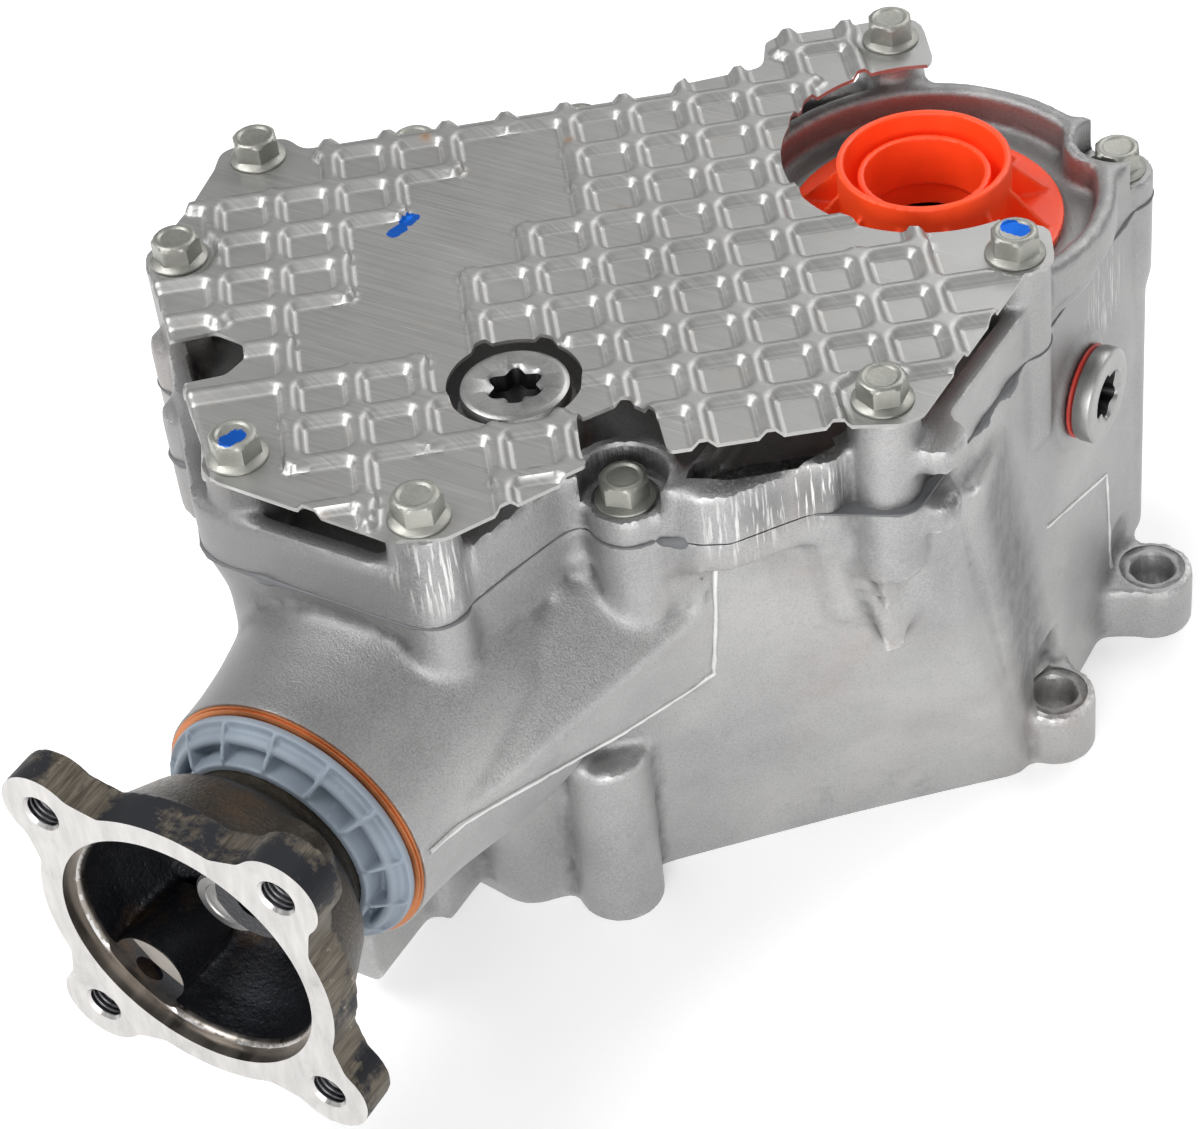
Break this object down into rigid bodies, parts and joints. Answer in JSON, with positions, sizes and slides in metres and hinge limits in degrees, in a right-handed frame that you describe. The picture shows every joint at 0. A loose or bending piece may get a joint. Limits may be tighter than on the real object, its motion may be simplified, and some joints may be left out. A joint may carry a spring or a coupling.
{
  "type": "power transfer unit",
  "caption": "Right-angle drive unit with a cast case, ribbed heat shield, hollow splined input shaft, gear train and a four-eared output flange.",
  "frame": {"origin": "on the input axis, in the plane that meets the transaxle", "axes": "+Z along the input axis from the transaxle face up through the heat shield; the output flange faces -Y"},
  "size_m": [0.2725, 0.375, 0.1892],
  "materials": {
    "cast_aluminium": "sand cast, satin",
    "sealant": "cured sealant",
    "shield_sheet": "rolled sheet, brushed",
    "zinc_plate": "zinc plated",
    "plug_steel": "turned",
    "red_rubber": "moulded",
    "black_rubber": "moulded",
    "copper_coat": "coated",
    "bearing_steel": "ground",
    "gear_steel": "machined, oiled",
    "cast_iron": "rough cast with machined faces",
    "blue_grey_plastic": "moulded",
    "orange_plastic": "moulded"
  },
  "bodies": {
    "housing": {"main_case": "cast_aluminium", "side_cover": "cast_aluminium", "cover_sealant": "sealant", "heat_shield": "shield_sheet", "shield_bolts": "zinc_plate", "cover_bolts": "zinc_plate", "dowel_pins": "bearing_steel", "fill_plug": "plug_steel", "fill_plug_seal": "red_rubber", "drain_plug": "plug_steel", "drain_plug_seal": "red_rubber", "face_seal_ring": "red_rubber", "case_input_seal": "black_rubber", "cover_input_seal": "black_rubber", "pinion_seal": "black_rubber", "neck_ring": "copper_coat", "input_bearing_outer_rings": "bearing_steel", "idler_pin": "gear_steel", "idler_washers": "bearing_steel", "transfer_bearing_cups": "bearing_steel", "pinion_bearing_cups": "bearing_steel"},
    "input": {"input_shaft": "gear_steel", "input_gear": "gear_steel", "input_bearing_inner_rings": "bearing_steel", "input_bearing_balls": "bearing_steel"},
    "idler": {"idler_gear": "gear_steel", "idler_needles": "bearing_steel"},
    "transfer": {"transfer_shaft": "gear_steel", "driven_gear": "gear_steel", "ring_gear": "gear_steel", "transfer_bearing_cones": "bearing_steel", "transfer_bearing_rollers": "bearing_steel"},
    "output": {"pinion_shaft": "gear_steel", "pinion_bearing_cones": "bearing_steel", "pinion_bearing_rollers": "bearing_steel", "pinion_spacer": "gear_steel", "output_flange": "cast_iron", "pinion_nut": "gear_steel", "dust_ring": "blue_grey_plastic"},
    "shipping_cap": {"shipping_plug": "orange_plastic"}
  },
  "joints": [
    {"name": "output_spin", "type": "hinge", "parent": "housing", "child": "output", "pos_m": [-0.077, -0.2, 0.097], "axis": [0, -1, 0], "continuous": true},
    {"name": "transfer_spin", "type": "hinge", "parent": "housing", "child": "transfer", "pos_m": [-0.077, -0.095, 0.08], "axis": [0, 0, 1], "continuous": true},
    {"name": "idler_spin", "type": "hinge", "parent": "housing", "child": "idler", "pos_m": [-0.05425, -0.03625, 0.047], "axis": [0, 0, 1], "continuous": true},
    {"name": "input_spin", "type": "hinge", "parent": "housing", "child": "input", "pos_m": [0, 0, 0.09], "axis": [0, 0, 1], "continuous": true},
    {"name": "plug_lift", "type": "slide", "parent": "housing", "child": "shipping_cap", "axis": [0, 0, 1], "range_m": [0, 0.014]}
  ],
  "couplings": [
    {"joint": "transfer_spin", "follows": "output_spin", "ratio": 0.34884},
    {"joint": "input_spin", "follows": "output_spin", "ratio": 0.32703},
    {"joint": "idler_spin", "follows": "output_spin", "ratio": -0.4025}
  ]
}
